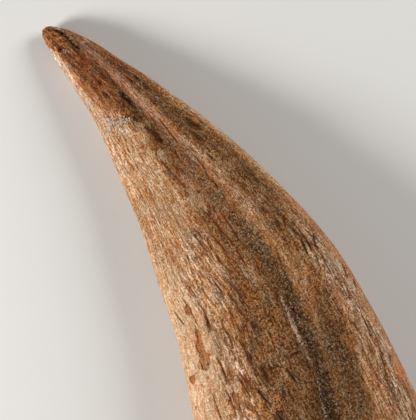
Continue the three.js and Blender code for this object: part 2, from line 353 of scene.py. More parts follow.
upperMarks = {
    # along, place across, half width, strength
    "brown": [
        [(0, 0.1, 1.1, 0.8), (8, 0.05, 0.7, 0.9), (16, -0.12, 0.47, 1), (28, -0.12, 0.36, 1),
         (38, -0.05, 0.27, 0.95), (50, 0.04, 0.26, 0.85), (62, 0.08, 0.32, 0.7), (78, 0.1, 0.32, 0.7),
         (92, 0.13, 0.31, 0.7), (106, 0.08, 0.4, 0.85), (118, 0.04, 0.43, 1), (134, 0.06, 0.45, 1),
         (150, 0.08, 0.45, 1), (168, 0.05, 0.42, 0.8), (190, -0.3, 0.4, 0.6), (212, -0.5, 0.4, 0.5)],
        [(14, 0.85, 0.22, 0.5), (24, 0.74, 0.2, 0.66), (36, 0.66, 0.24, 0.72), (50, 0.62, 0.25, 0.76),
         (64, 0.66, 0.24, 0.68), (80, 0.7, 0.24, 0.63), (96, 0.65, 0.22, 0.6), (108, 0.56, 0.15, 0.6),
         (120, 0.58, 0.145, 0.9), (132, 0.48, 0.2, 1), (146, 0.43, 0.18, 1), (165, 0.3, 0.25, 0.8),
         (185, 0.1, 0.3, 0.5), (212, 0, 0.3, 0.3)],
    ],
    "sand": [
        [(2, 0.56, 0.06, 0.4), (5, 0.48, 0.11, 0.6), (9, 0.3, 0.12, 0.7), (13, 0.22, 0.09, 0.6),
         (18, 0.18, 0.07, 0.5), (24, 0.2, 0.08, 0.35), (30, 0.1, 0.07, 0.55), (35, 0.08, 0.075, 0.78),
         (44, 0.13, 0.065, 0.65), (52, 0.1, 0.07, 0.55), (62, 0.14, 0.13, 0.46), (76, 0.2, 0.12, 0.58),
         (86, 0.25, 0.11, 0.74), (97, 0.28, 0.1, 0.82), (106, 0.31, 0.075, 0.9), (114, 0.3, 0.075, 1),
         (124, 0.28, 0.08, 0.95), (136, 0.27, 0.08, 0.85), (150, 0.24, 0.09, 1), (160, 0.16, 0.11, 1),
         (172, -0.02, 0.13, 0.9), (186, -0.34, 0.12, 0.75), (200, -0.64, 0.1, 0.6)],
        [(24, 0.72, 0.08, 0.2), (34, 0.69, 0.11, 0.35), (44, 0.66, 0.13, 0.42), (54, 0.62, 0.12, 0.45),
         (64, 0.74, 0.1, 0.35), (74, 0.8, 0.09, 0.5), (84, 0.77, 0.09, 0.42), (94, 0.72, 0.07, 0.35),
         (102, 0.7, 0.06, 0)],
        [(104, -0.6, 0.04, 0), (109, -0.61, 0.05, 0.45), (116, -0.59, 0.05, 0.4), (128, -0.56, 0.06, 0.5),
         (137, -0.5, 0.05, 0)],
        [(114, 0.42, 0.12, 0), (122, 0.44, 0.14, 0.4), (132, 0.46, 0.17, 0.6), (142, 0.44, 0.16, 0.6),
         (154, 0.4, 0.18, 0.6), (168, 0.25, 0.16, 0.5), (180, 0.1, 0.15, 0)],
    ],
    # pale bands: pale bone, and painted highlight on the lit inner strip and along the outer rim
    "pale": [
        [(20, 0.97, 0.05, 0), (34, 0.97, 0.06, 0.5), (60, 0.97, 0.07, 0.62), (84, 0.98, 0.06, 0.6),
         (98, 0.98, 0.05, 0)],
        [(104, 0.86, 0.05, 0), (112, 0.86, 0.07, 0.5), (122, 0.86, 0.05, 0.4), (134, 0.89, 0.06, 0.5),
         (146, 0.86, 0.06, 0.4), (156, 0.83, 0.05, 0)],
        [(4, 0.8, 0.1, 0.4), (10, 0.66, 0.12, 0.8), (16, 0.54, 0.11, 0.8), (24, 0.46, 0.07, 0.35),
         (32, 0.36, 0.06, 0.45), (40, 0.31, 0.05, 0.7), (48, 0.33, 0.05, 0.4), (56, 0.44, 0.07, 0.45),
         (70, 0.5, 0.07, 0.3), (84, 0.5, 0.06, 0.2), (96, 0.5, 0.05, 0)],
        [(3, -1, 0.12, 0.3), (9, -0.92, 0.16, 0.9), (20, -0.9, 0.13, 1), (30, -0.88, 0.14, 0.95),
         (37, -0.82, 0.22, 0.8), (44, -0.86, 0.2, 0.35), (60, -0.9, 0.12, 0.25), (80, -0.9, 0.2, 0.3),
         (100, -0.86, 0.22, 0.5), (125, -0.82, 0.2, 0.5), (150, -0.86, 0.16, 0.4), (175, -0.9, 0.2, 0.3)],
    ],
    # pinkish grey: painted sheen on the tip's groove and ridge, and a slab near the outer edge
    "mauve": [
        [(4, 0.72, 0.2, 0.5), (9, 0.6, 0.24, 0.8), (16, 0.46, 0.24, 1), (26, 0.33, 0.2, 1),
         (36, 0.26, 0.16, 0.9), (46, 0.27, 0.14, 0.9), (56, 0.25, 0.16, 0.85), (64, 0.27, 0.15, 0.6),
         (72, 0.3, 0.12, 0)],
        [(102, 0.88, 0.06, 0), (108, 0.89, 0.07, 0.3), (118, 0.9, 0.06, 0.25), (126, 0.9, 0.05, 0.1),
         (134, 0.91, 0.06, 0.32), (142, 0.89, 0.06, 0.3), (148, 0.86, 0.05, 0)],
    ],
    # a pale line along the groove's raised lip: painted highlight
    "lip": [
        [(110, 0.212, 0.009, 0), (113, 0.208, 0.011, 0.8), (117, 0.203, 0.013, 0.9), (120, 0.2, 0.021, 1),
         (125, 0.2, 0.021, 0.95), (127, 0.205, 0.01, 0.7), (133, 0.212, 0.008, 0.7),
         (136, 0.213, 0.007, 0.1), (139, 0.21, 0.009, 0.75), (152, 0.168, 0.01, 0.7),
         (163, 0.08, 0.012, 0.3), (168, 0.02, 0.012, 0)],
    ],
    "smooth": [
        [(78, -0.92, 0.18, 0), (92, -0.86, 0.2, 0.85), (110, -0.84, 0.22, 1), (130, -0.84, 0.2, 1),
         (160, -0.86, 0.16, 0.8), (185, -0.9, 0.2, 0.4)],
    ],
    "loose": [
        [(76, -0.3, 0.14, 0), (86, -0.34, 0.2, 0.7), (98, -0.42, 0.26, 0.9), (112, -0.45, 0.3, 1),
         (128, -0.5, 0.24, 0.8), (142, -0.42, 0.3, 1), (160, -0.4, 0.3, 0.9), (186, -0.3, 0.4, 0.6)],
        [(86, 0.74, 0.14, 0), (98, 0.74, 0.2, 0.9), (112, 0.72, 0.16, 0.6), (128, 0.8, 0.14, 0.7),
         (148, 0.74, 0.2, 0.9), (175, 0.6, 0.3, 0.6)],
        [(76, 0.05, 0.12, 0), (82, 0.07, 0.14, 0.7), (95, 0.06, 0.12, 0.5), (102, 0.04, 0.1, 0)],
    ],
    # along, place across, half length in mm, half width in mm, strength
    "rustSpots": [
        (103, -0.76, 1.5, 0.9, 1), (125, -0.93, 1.3, 1, 1), (110.3, -0.86, 0.6, 0.5, 0.9),
        (53, 0.29, 2.5, 0.6, 0.6), (145, 0.96, 3.4, 1.5, 1), (137, -0.55, 3.4, 1.4, 0.8),
        (141, -0.18, 4, 1.2, 0.6), (119, 0.72, 5, 1.6, 0.5), (81.5, 0.08, 2.6, 1.2, 0.8),
        (20, 0.85, 8, 1.6, 0.5), (22, -0.45, 7, 1.5, 0.4), (6, -0.15, 4, 2, 0.5), (150, 0.7, 3, 1, 0.5),
        (171, 0.6, 5, 2.5, 0.4), (178, -0.75, 6, 3, 0.5), (128, -0.84, 0.7, 0.4, 0.9),
        (131, -0.8, 0.9, 0.35, 0.9), (133, -0.87, 0.6, 0.4, 0.9), (140, -0.7, 1.2, 0.4, 0.8),
        (98, -0.66, 1, 0.4, 0.8), (106, -0.7, 0.7, 0.4, 0.8), (122, -0.86, 0.5, 0.4, 0.9),
        (143, -0.82, 1, 0.5, 0.8), (144, 0.7, 2.2, 0.8, 0.7), (126, 0.9, 2.6, 0.8, 0.8),
        (134, 0.62, 2.6, 0.9, 0.6), (66, -0.62, 2, 0.7, 0.6),
    ],
    "paleSpots": [
        (112, 0.85, 7.5, 2.4, 1), (118, 0.91, 5.5, 1.5, 1), (105, 0.86, 4, 1.3, 0.9),
        (111, 0.76, 4, 1, 0.7), (136, 0.91, 7, 2, 1), (144, 0.87, 4.5, 1.6, 0.8),
        (154, 0.84, 4.5, 2.2, 0.9), (128, 0.86, 3, 0.9, 0.7), (101, 0.01, 4.6, 1.6, 0.2),
        (104, 0.52, 4.5, 1.4, 0.6), (60, 0.24, 4, 1.6, 0.6), (132, -0.4, 6, 2.4, 0.9),
        (130, 0, 5, 1.4, 0.35), (122, -0.42, 4, 1.6, 0.4), (146, -0.5, 5, 2, 0.6), (86, -0.42, 3, 2, 0.5),
        (42, -0.5, 3.5, 2.6, 0.7), (165, 0.75, 6, 4, 0.5), (189, -0.9, 6, 3, 0.5), (200, 0.5, 7, 5, 0.4),
    ],
    # smooth skin of the bone that has no pores
    "bareSpots": [
        (46.5, -0.12, 4.2, 1.8, 1), (56, -0.1, 3.4, 1.5, 0.7), (74, -0.06, 5, 2.6, 0.8),
        (68, -0.02, 3.4, 1.6, 0.6), (102, 0.03, 5, 2, 0.55), (97, -0.22, 4, 1.2, 0.5),
        (95, -0.84, 9, 3.6, 1), (107, -0.9, 6, 2.4, 0.9), (119, -0.66, 6.5, 1.7, 1),
        (127, -0.72, 4.5, 1.8, 0.9), (133, -0.04, 5, 1.6, 0.5), (150, -0.8, 6, 3, 0.8),
        (112, 0.85, 7, 2, 0.5), (136, 0.91, 8, 2.2, 0.45), (62, 0.3, 4, 1.4, 0.5), (84, 0.5, 5, 1.3, 0.4),
        (176, 0.3, 7, 4, 0.8), (188, -0.5, 6, 3, 0.8),
    ],
    # whitish chips of bare bone, and painted glints along the inner edge near the tip
    "chipAndGlintSpots": [
        (40.3, -0.28, 1, 1.2, 1), (39.6, -0.43, 1.4, 1.6, 1), (38.2, -0.58, 2, 1.3, 1),
        (37.4, -0.72, 2.6, 1.1, 1), (14.5, -0.62, 0.7, 0.5, 1), (10.4, -0.44, 0.35, 0.9, 1),
        (14, -0.88, 2.2, 0.7, 1), (21, -0.84, 1.4, 0.5, 0.8), (28, -0.92, 2.6, 0.6, 1),
        (7, -0.7, 0.4, 0.6, 0.9), (11, -0.25, 0.5, 0.4, 1), (17, -0.52, 0.6, 0.4, 1),
        (24, -0.32, 0.5, 0.35, 0.9), (30, -0.55, 0.7, 0.4, 0.9), (22, 0.62, 0.5, 0.4, 0.9),
        (27, 0.54, 0.6, 0.4, 0.9), (33, 0.62, 0.6, 0.4, 0.9), (40, 0.66, 0.6, 0.5, 0.9),
        (13, 0.72, 0.5, 0.4, 0.9), (36, 0.5, 0.5, 0.35, 0.8),
    ],
    # dark spots in dents: dark fill and painted shadow
    "darkSpots": [
        (34.5, 0.08, 3.2, 0.7, 0.8), (50, 0.05, 2.8, 1, 1), (47, 0, 1.6, 0.6, 0.8),
        (29.6, -0.3, 1.2, 0.6, 1), (16.5, -0.2, 1.6, 0.7, 0.8), (25.5, -0.14, 0.9, 0.5, 0.8),
        (8.4, -0.42, 0.7, 0.7, 1), (6.6, -0.72, 0.5, 0.5, 0.9), (41.5, -0.08, 1.2, 0.6, 0.8),
        (53, 0.72, 3.4, 1, 0.75), (57, 0.6, 3.2, 0.8, 0.65), (76, 0.78, 5, 1, 0.5),
        (131.5, -0.22, 4.2, 1.2, 0.5), (125, -0.3, 0.9, 0.6, 1), (136.5, -0.33, 0.7, 0.4, 1),
        (135, -0.95, 0.5, 0.4, 1), (126, -0.76, 0.5, 0.5, 0.7), (83.3, -0.31, 0.6, 0.4, 0.9),
        (91, 0.73, 3.6, 0.7, 0.5), (146.5, -0.19, 2.6, 0.4, 0.9), (148, -0.36, 2.4, 0.5, 0.8),
        (140, -0.12, 2.8, 0.5, 0.6), (138, 0.78, 2.2, 0.8, 0.5), (128, 0.8, 3, 0.7, 0.5),
        (111, -0.61, 2.4, 0.6, 0.8), (154.5, 0.22, 3, 1.6, 1), (158, 0.2, 4, 2, 0.9),
    ],
    # places of a path (along, across), half width in mm, depth
    "cracks": [
        ([(77, -0.045), (85, 0.01), (89, 0.04), (94, 0.07)], 0.22, 0.9),
        ([(79, 0.12), (86, 0.135), (95, 0.15)], 0.16, 0.6),
        ([(83.5, -0.15), (87, -0.105), (91, -0.075), (94, -0.05)], 0.18, 0.9),
        ([(80, -0.02), (87, 0), (93, 0.02)], 0.14, 0.4),
        ([(92, 0.04), (96, 0.055), (100, 0.05)], 0.16, 0.6),
        ([(80, -0.3), (83, -0.26), (86, -0.25)], 0.2, 0.8),
        ([(98, -0.23), (104, -0.19), (112, -0.15)], 0.16, 0.6),
        ([(82, -0.33), (85, -0.3), (88, -0.29)], 0.18, 0.8),
        ([(129.8, 0.16), (129.3, 0.11), (129.7, 0.04)], 0.3, 1.7),
        ([(132, -0.03), (135, 0), (138, 0.03)], 0.3, 1.6),
        ([(128, 0.02), (131, 0.035), (134, 0.02)], 0.22, 0.7),
        ([(101, -0.905), (105, -0.89), (108, -0.865)], 0.14, 0.6),
        ([(97, -0.75), (103, -0.742), (111, -0.745)], 0.12, 0.5),
        ([(100.5, 0.88), (102.5, 0.83), (104, 0.82), (105.5, 0.84)], 0.3, 1.3),
        ([(98.5, 0.76), (101.5, 0.775), (105, 0.755)], 0.24, 1.1),
        ([(100.2, 0.715), (103, 0.705), (105.5, 0.69)], 0.26, 1.3),
        ([(105.5, 0.75), (108, 0.735), (110, 0.73)], 0.18, 0.6),
        ([(91, 0.76), (93.5, 0.7), (95.5, 0.67)], 0.2, 0.6),
        ([(53.2, -0.06), (53.8, -0.14), (55.5, -0.2)], 0.2, 0.7),
        ([(56, -0.19), (61, -0.14), (66, -0.14)], 0.16, 0.6),
        ([(76, 0.08), (78, 0.04), (79.5, 0)], 0.14, 0.5),
        ([(112, 0.935), (114, 0.94), (117, 0.925)], 0.22, 0.9), ([(117.5, 0.965), (120, 0.955)], 0.2, 0.8),
        ([(130, -0.74), (137, -0.745), (146, -0.74)], 0.13, 0.6),
        ([(131, -0.62), (136, -0.6), (143, -0.6)], 0.2, 0.8),
        ([(100, -0.61), (106, -0.6), (113, -0.62)], 0.15, 0.6),
        ([(142, -0.17), (147, -0.15), (152, -0.1)], 0.2, 0.9),
        ([(141, -0.5), (148, -0.44), (155, -0.42)], 0.24, 0.9),
        ([(158, -0.3), (165, -0.34), (173, -0.46)], 0.2, 0.8),
        ([(160, 0.6), (170, 0.56), (182, 0.5)], 0.18, 0.8),
        ([(186, 0.3), (194, 0.2), (199, 0.22)], 0.16, 0.7), ([(60, 0.3), (64, 0.33), (70, 0.3)], 0.14, 0.5),
        ([(112, -0.46), (117, -0.44), (121, -0.45)], 0.18, 1),
        ([(118, -0.35), (123, -0.33), (127, -0.34)], 0.2, 1),
        ([(134, -0.34), (138, -0.31), (142, -0.26)], 0.24, 1.3),
        ([(128, -0.48), (133, -0.45), (138, -0.42)], 0.18, 1),
        ([(144, -0.23), (147, -0.2), (150, -0.17)], 0.26, 1.3),
        ([(120, -0.62), (125, -0.6), (131, -0.605)], 0.16, 0.9),
        ([(97, -0.36), (101, -0.34), (105, -0.345)], 0.18, 0.9),
        ([(104, -0.28), (108, -0.25), (112, -0.25)], 0.18, 0.8),
        ([(126, 0.835), (131, 0.85), (136, 0.845)], 0.14, 0.6),
        ([(139, 0.83), (143, 0.835), (147, 0.81)], 0.16, 0.8),
        ([(106, 0.8), (110, 0.79), (114, 0.8)], 0.14, 0.6), ([(44, 0.3), (50, 0.3), (57, 0.28)], 0.16, 0.6),
        ([(22, 0.3), (26, 0.22), (30, 0.14)], 0.16, 0.6),
    ],
    # along, place across, half length in mm, half width in mm
    "flakes": [
        (112.3, -0.752, 2.6, 0.6), (116.4, -0.77, 2.8, 1.1), (120, -0.748, 2.3, 1.5),
        (122.2, -0.778, 1.3, 0.8), (103, -0.765, 1.5, 0.95), (125, -0.93, 1.2, 0.95), (137, -0.555, 2.6, 1),
        (172, 0.3, 4.2, 1.7), (193, -0.2, 3.2, 2),
    ],
}

lowerMarks = {
    "brown": [
        [(0, 0, 1.1, 0.8), (12, 0.1, 0.6, 0.9), (30, 0.12, 0.4, 0.9), (48, 0.1, 0.34, 0.9),
         (70, 0.2, 0.34, 0.8), (95, 0.25, 0.42, 0.95), (120, 0.2, 0.45, 1), (150, 0.2, 0.5, 1),
         (175, 0.05, 0.5, 0.8), (212, -0.3, 0.5, 0.6)],
        [(30, 0.72, 0.16, 0.6), (60, 0.7, 0.18, 0.8), (90, 0.7, 0.16, 0.8), (120, 0.66, 0.14, 0.5),
         (212, 0.4, 0.3, 0.4)],
    ],
    "sand": [
        [(3, 0.5, 0.05, 0.5), (10, 0.28, 0.06, 0.8), (24, 0.22, 0.08, 0.5), (36, 0.11, 0.08, 0.9),
         (52, 0.12, 0.1, 0.7), (70, 0.2, 0.12, 0.7), (92, 0.25, 0.12, 0.8), (112, 0.3, 0.11, 0.9),
         (132, 0.3, 0.13, 1), (152, 0.25, 0.13, 1), (170, 0.02, 0.13, 0.9), (186, -0.34, 0.13, 0.8),
         (200, -0.64, 0.1, 0.6)],
        [(40, 0.7, 0.08, 0.2), (58, 0.69, 0.1, 0.6), (84, 0.72, 0.1, 0.6), (104, 0.7, 0.08, 0.2)],
        [(120, 0.5, 0.1, 0), (140, 0.52, 0.16, 0.6), (160, 0.4, 0.16, 0.7), (178, 0.2, 0.15, 0)],
    ],
    # pale bone, and painted highlight on the lit inner strip
    "pale": [
        [(5, 0.75, 0.1, 0.5), (20, 0.5, 0.1, 0.6), (38, 0.36, 0.07, 0.8), (60, 0.46, 0.07, 0.4),
         (90, 0.5, 0.06, 0.2)],
        [(5, -0.95, 0.12, 0.4), (22, -0.88, 0.14, 0.9), (48, -0.86, 0.14, 0.3), (80, -0.85, 0.2, 0.5),
         (120, -0.84, 0.22, 0.5), (175, -0.9, 0.2, 0.3)],
    ],
    # pinkish grey: painted sheen on the tip's groove and ridge
    "mauve": [[(6, 0.62, 0.2, 0.7), (24, 0.4, 0.2, 0.8), (44, 0.3, 0.14, 0.6), (58, 0.3, 0.1, 0)]],
    "smooth": [
        [(80, -0.9, 0.16, 0), (100, -0.88, 0.16, 0.6), (150, -0.88, 0.14, 0.6), (185, -0.9, 0.2, 0.3)],
    ],
    "loose": [
        [(60, -0.4, 0.2, 0), (80, -0.4, 0.26, 0.9), (120, -0.45, 0.3, 0.9), (160, -0.4, 0.3, 1),
         (186, -0.3, 0.4, 0.6)],
        [(90, 0.76, 0.18, 0), (110, 0.78, 0.18, 0.8), (150, 0.74, 0.2, 0.9), (175, 0.6, 0.3, 0.5)],
    ],
    # a pale line along the groove's raised lip: painted highlight
    "lip": [
        [(118, 0.21, 0.014, 0), (126, 0.205, 0.018, 0.8), (146, 0.18, 0.016, 0.8), (160, 0.1, 0.02, 0)],
    ],
    "rustSpots": [
        (60, -0.5, 5, 1.5, 0.7), (88, -0.72, 1.8, 1.1, 0.9), (100, 0.1, 6, 2, 0.6),
        (142, -0.6, 3, 1.6, 0.8), (160, 0.75, 4, 1.6, 0.7), (20, 0.5, 6, 1.5, 0.6), (180, -0.7, 6, 3, 0.5),
        (130, 0.9, 2, 1, 0.7),
    ],
    "paleSpots": [
        (75, 0.86, 4.5, 2, 0.8), (108, -0.4, 4, 2, 0.6), (128, 0.84, 6, 2.2, 0.8), (165, -0.7, 6, 3, 0.5),
        (188, 0.5, 7, 5, 0.5), (50, -0.7, 3, 1.5, 0.6),
    ],
    "bareSpots": [
        (66, -0.7, 6, 2.2, 0.9), (98, -0.8, 6, 2.6, 0.8), (120, -0.5, 5, 2, 0.8), (150, 0.85, 6, 2.6, 0.6),
        (56, 0.4, 4, 1.3, 0.5),
    ],
    # whitish chips of bare bone and painted glints
    "chipAndGlintSpots": [(47, -0.8, 1.8, 0.9, 0.9), (92, 0.95, 2.2, 1, 0.8), (24, -0.9, 1.6, 0.7, 0.8)],
    # dark spots in dents: dark fill and painted shadow
    "darkSpots": [
        (38, 0.1, 4, 0.9, 1), (78, 0.7, 3, 1, 0.8), (118, -0.2, 2.5, 0.8, 0.9), (136, -0.4, 1, 0.6, 1),
        (100, -0.6, 0.8, 0.5, 0.9), (156, 0.22, 4, 2, 0.9), (58, -0.3, 1.2, 0.6, 0.8),
    ],
    "cracks": [
        ([(64, -0.35), (74, -0.3), (86, -0.29)], 0.2, 0.8), ([(90, 0), (98, 0.04), (108, 0.05)], 0.18, 0.7),
        ([(112, -0.62), (124, -0.58), (133, -0.6)], 0.18, 0.8),
        ([(84, 0.82), (90, 0.8), (97, 0.82)], 0.24, 0.9),
        ([(126, 0.78), (134, 0.75), (145, 0.74)], 0.22, 0.8),
        ([(150, -0.3), (160, -0.36), (170, -0.5)], 0.2, 0.9),
        ([(140, 0.02), (140.8, 0.08), (140.2, 0.14)], 0.14, 0.7),
        ([(178, 0.5), (188, 0.4), (196, 0.42)], 0.18, 0.8),
        ([(40, -0.4), (47, -0.36), (55, -0.37)], 0.16, 0.6),
    ],
    "flakes": [
        (88, -0.72, 1.9, 1.1), (106, -0.66, 4.2, 1.4), (109.5, -0.63, 2.6, 1.3), (142, -0.6, 2.8, 1.4),
        (160, 0.74, 3.6, 1.5), (180, 0.1, 4, 2.2),
    ],
}


def bandField(bands, along, across):
    result = np.zeros_like(along)
    for rows in bands:
        place, width, strength = rowsAt(rows, along)
        inside = 1 - smooth(np.abs(across - place) / width, 0.45, 1.5)
        ends = smooth(along, rows[0][0] - 4, rows[0][0]) * (1 - smooth(along, rows[-1][0], rows[-1][0] + 4))
        result = np.maximum(result, inside * strength * ends)
    return result


def unevenAway(along, across, span, at, place, length, width):
    # distance from a spot's middle as a share of its size, with an uneven outline
    lengthways, sideways = along - at, (across - place) * span
    bent = sideways + 0.22 * width * (np.sin(lengthways * 1.9 + at) + np.sin(lengthways * 4.3 + at * 2))
    pulled = lengthways + 0.3 * width * np.sin(sideways * 2.7 + at * 3)
    return np.hypot(pulled / length, bent / width)


def spotField(spots, along, across, span):
    result = np.zeros_like(along)
    for at, place, length, width, strength in spots:
        away = unevenAway(along, across, span, at, place, length, width)
        result = np.maximum(result, strength * (1 - smooth(away, 0.5, 1.4)))
    return result


def crackFields(cracks, along, across, span, spanTable):
    # offset in mm from the nearest crack, with a sign for the side, its half width and its depth
    offset, wide, depth = np.full_like(along, 3), np.full_like(along, 0.2), np.zeros_like(along)
    for index, (path, width, deep) in enumerate(cracks):
        places = np.array(path)
        near = np.abs(along - places[:, 0].mean()) < np.ptp(places[:, 0]) / 2 + 4
        here = np.stack([along[near], across[near] * span[near]], 1)
        corners = places * [1, np.interp(places[:, 0].mean(), *spanTable)]
        reach = np.hypot(*np.diff(corners, axis=0).T)
        whole, before = reach.sum(), 0.0
        for start, end, size in zip(corners[:-1], corners[1:], reach):
            way = (end - start) / size
            gone = np.clip((here - start) @ way, 0, size)
            away = here - start - gone[:, None] * way
            side = np.where(way[0] * away[:, 1] - way[1] * away[:, 0] < 0, -1, 1) * (1 if index % 2 else -1)
            far = np.hypot(*away.T)
            taper = smooth(before + gone, 0, whole * 0.25) * smooth(whole - before - gone, 0, whole * 0.25)
            closer = far < np.abs(offset[near])
            offset[near] = np.where(closer, far * side, offset[near])
            wide[near] = np.where(closer, width, wide[near])
            depth[near] = np.where(closer, deep * taper * (1 - smooth(far, 1.6, 2.6)), depth[near])
            before += size
    return offset, wide, depth


def flakeField(flakes, along, across, span):
    # how far a point lies inside a flake scar, in mm
    result = np.full_like(along, -3)
    for at, place, length, width in flakes:
        away = unevenAway(along, across, span, at, place, length, width)
        result = np.maximum(result, (1 - away) * width)
    return result


bandNames = ("brown", "sand", "pale", "mauve", "lip", "loose", "smooth")
spotNames = ("rust", "bare", "chipAndGlint", "dark")


def markFields(along, across, flank, spanTable):
    upper, span = smooth(flank, -0.15, 0.15), np.interp(along, *spanTable)
    sets = []
    for marks in (upperMarks, lowerMarks):
        offset, wide, depth = crackFields(marks["cracks"], along, across, span, spanTable)
        fields = {name: bandField(marks[name], along, across) for name in bandNames}
        for name in spotNames:
            fields[name] = spotField(marks[name + "Spots"], along, across, span)
        fields["pale"] = np.maximum(fields["pale"], spotField(marks["paleSpots"], along, across, span))
        fields["bare"] = np.maximum(fields["bare"], fields.pop("smooth"))
        fields["flake"] = flakeField(marks["flakes"], along, across, span)
        fields.update(crack=offset, crackWidth=wide, crackDepth=depth)
        sets.append(fields)
    mixed = {name: sets[1][name] * (1 - upper) + sets[0][name] * upper for name in sets[0]}
    mixed["across"] = across
    return mixed


def fibreSlant(along, across, flank):
    # the fibres of the inner half lean towards the outer edge as they run to the base
    lean = 0.3 * bell((across + 0.3) / 0.6) * smooth(along, 55, 125)
    return (lean + 0.25 * bell((across + 0.15) / 0.35) * smooth(along, 118, 165)) * flank


def placed(rings, row, across, height, sunk):
    x, y = rings["half"][row, 0], rings["half"][row, 1]
    span = np.hypot(x, y)
    bow = -clawForm["sideBend"] * (1 - rings["fromTip"][row] / rings["length"]) ** 2
    return np.stack([
        rings["middle"][row, 0] + across * x - sunk * y / span,
        rings["middle"][row, 1] + across * y + sunk * x / span,
        height + bow,
    ], axis=-1)


def clawPoints(rings):
    # body rings, joint face rings, and what the looks need at each point of them
    turn = columnTurns()[None, :]
    across = np.cos(turn)
    fromTip, joint = rings["fromTip"][:, None], clawForm["joint"]
    row = np.arange(len(fromTip))[:, None]
    height = sectionHeight(fromTip, rings["thick"][:, None], turn)
    nearJoint = smooth(fromTip, rings["length"] - joint["dishReach"], rings["length"])
    body = placed(rings, row, across, height, joint["dish"] * nearJoint * (1 - across ** 2))

    share = 1 - (np.arange(1, clawForm["jointRings"] + 1) / (clawForm["jointRings"] + 1))[:, None] ** 1.15
    rimAcross, rimHeight = across * share, height[-1:] * share
    lip = joint["lip"] * bell((share - 0.88) / joint["rimWidth"]) * smooth(1 - share, 0, 0.1)
    hollow = joint["hollow"] - joint["keel"] * bell(rimHeight / joint["keelWidth"])
    sunk = joint["dish"] * (1 - rimAcross ** 2) + hollow * (1 - share ** 2) ** 1.2 - lip
    face = placed(rings, -1, rimAcross, rimHeight, sunk)[:, ::2]
    middleSunk = joint["dish"] + joint["hollow"] - joint["keel"]
    tipEnd = placed(rings, 0, 0, 0, clawForm["tipCap"])
    faceEnd = placed(rings, -1, 0, 0, middleSunk)
    return body, face, tipEnd, faceEnd, share[:, 0]


def stitch(first, second):
    # faces between two rings of point numbers, the second with as many points or twice as many
    count = len(first)
    nearNext = np.roll(first, -1)
    if len(second) == count:
        farNext = np.roll(second, -1)
        return np.stack([first, nearNext, farNext, second], 1).tolist()
    even, odd, after = second[0::2], second[1::2], np.roll(second[0::2], -1)
    return (np.stack([first, odd, even], 1).tolist() + np.stack([first, nearNext, odd], 1).tolist()
            + np.stack([nearNext, after, odd], 1).tolist())


def clawMesh():
    rings = ringsAlong()
    body, face, tipEnd, faceEnd, shares = clawPoints(rings)
    fromTip = rings["fromTip"]
    steps = np.linalg.norm(np.roll(body, -1, axis=1) - body, axis=2)
    girth = steps.sum(axis=1)
    angle = np.cumsum(steps, axis=1) / girth[:, None] * 2 * math.pi
    angle = np.concatenate([np.zeros((len(angle), 1)), angle[:, :-1]], axis=1)
    turn = columnTurns()
    ringList, points, values = [], [], []

    def addPoints(places, along, acrossHere, flankHere, angleHere, girthHere, onJoint):
        first = sum(len(added) for added in points)
        points.append(places)
        ones = np.ones(len(places))
        values.append(np.stack([along * ones, acrossHere * ones, flankHere * ones, angleHere * ones,
                                girthHere * ones, onJoint * ones], 1))
        return np.arange(first, first + len(places))

    tip = addPoints(tipEnd[None, :], 0, 0, 1, 0, girth[0] * 0.5, 0)
    for i, along in enumerate(fromTip):
        pick = slice(None, None, 2 if along < clawForm["halfColumnsTo"] else 1)
        ringList.append(addPoints(body[i, pick], along, np.cos(turn[pick]), np.sin(turn[pick]),
                                  angle[i, pick], girth[i], 0))
    # across the joint's face the distance from the tip runs on, and the girth keeps at least this share
    reach, rim, least = clawForm["joint"]["fibreReach"], clawForm["joint"]["rimWidth"], 0.3
    for i, share in enumerate(shares):
        ringList.append(addPoints(face[i], rings["length"] + (1 - share) * reach, np.cos(turn[::2]) * share,
                                  np.sin(turn[::2]), angle[-1, ::2], girth[-1] * max(share, least),
                                  float(smooth(1 - share, 0, rim))))
    end = addPoints(faceEnd[None, :], rings["length"] + reach, 0, 1, 0, girth[-1] * least, 1)

    faces = [[int(tip[0]), int(b), int(a)] for a, b in zip(ringList[0], np.roll(ringList[0], -1))]
    for near, far in zip(ringList[:-1], ringList[1:]):
        if len(near) <= len(far):
            faces += stitch(near, far)
        else:
            faces += [corners[::-1] for corners in stitch(far, near)]
    faces += [[int(end[0]), int(a), int(b)] for a, b in zip(ringList[-1], np.roll(ringList[-1], -1))]

    matrix = np.array(layDown())
    places = np.vstack(points) @ matrix[:3, :3].T + matrix[:3, 3]
    mesh = bpy.data.meshes.new("fossilClaw")
    mesh.from_pydata((places * mm).tolist(), [], faces)
    along, across, flank, angle, around, onJoint = np.vstack(values).T
    fields = markFields(along, across, flank, (fromTip, np.hypot(*rings["half"].T)))
    fields.update(girth=around, joint=onJoint)
    for name, field in fields.items():
        mesh.attributes.new(name, "FLOAT", "POINT").data.foreach_set("value", field)
    angle = angle + fibreSlant(along, across, flank)
    flow = np.stack([along, np.cos(angle), np.sin(angle)], 1)
    mesh.attributes.new("flow", "FLOAT_VECTOR", "POINT").data.foreach_set("vector", flow.ravel())
    mesh.shade_smooth()
    return mesh


def placeGroup(group, inputs):
    kind = "ShaderNodeGroup" if group.bl_idname == "ShaderNodeTree" else "GeometryNodeGroup"
    return fed(kind, inputs, node_tree=group)


